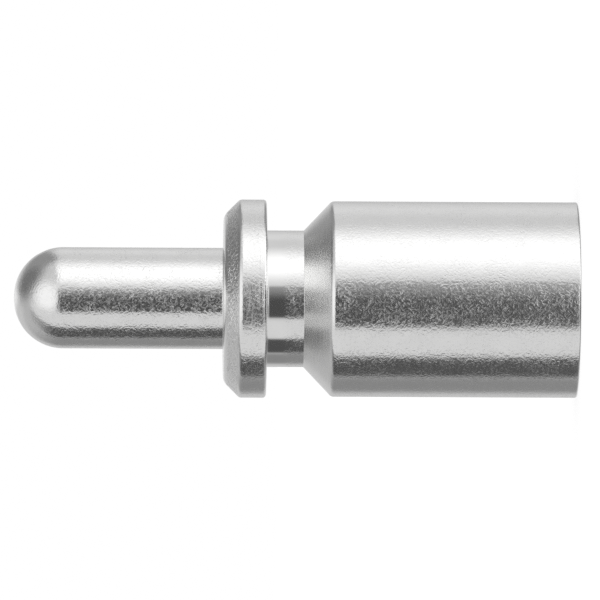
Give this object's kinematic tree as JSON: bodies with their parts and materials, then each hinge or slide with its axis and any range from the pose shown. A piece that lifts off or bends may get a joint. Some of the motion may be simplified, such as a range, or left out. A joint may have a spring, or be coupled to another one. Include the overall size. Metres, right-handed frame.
{
  "type": "turned pin contact",
  "caption": "Turned, silver plated power contact: round nosed pin, chamfered collar, clip neck and a drilled crimp barrel for a stranded wire.",
  "frame": {"origin": "centre of the crimp mouth's end face, which the contact stands on", "axes": "+Z runs along the turning axis from the crimp mouth to the nose of the pin; X and Y are alike, because the part is round"},
  "size_m": [0.0118, 0.0118, 0.0334],
  "materials": {
    "silver_plate": "satin"
  },
  "bodies": {
    "root": {"pin_contact": "silver_plate"}
  },
  "joints": []
}
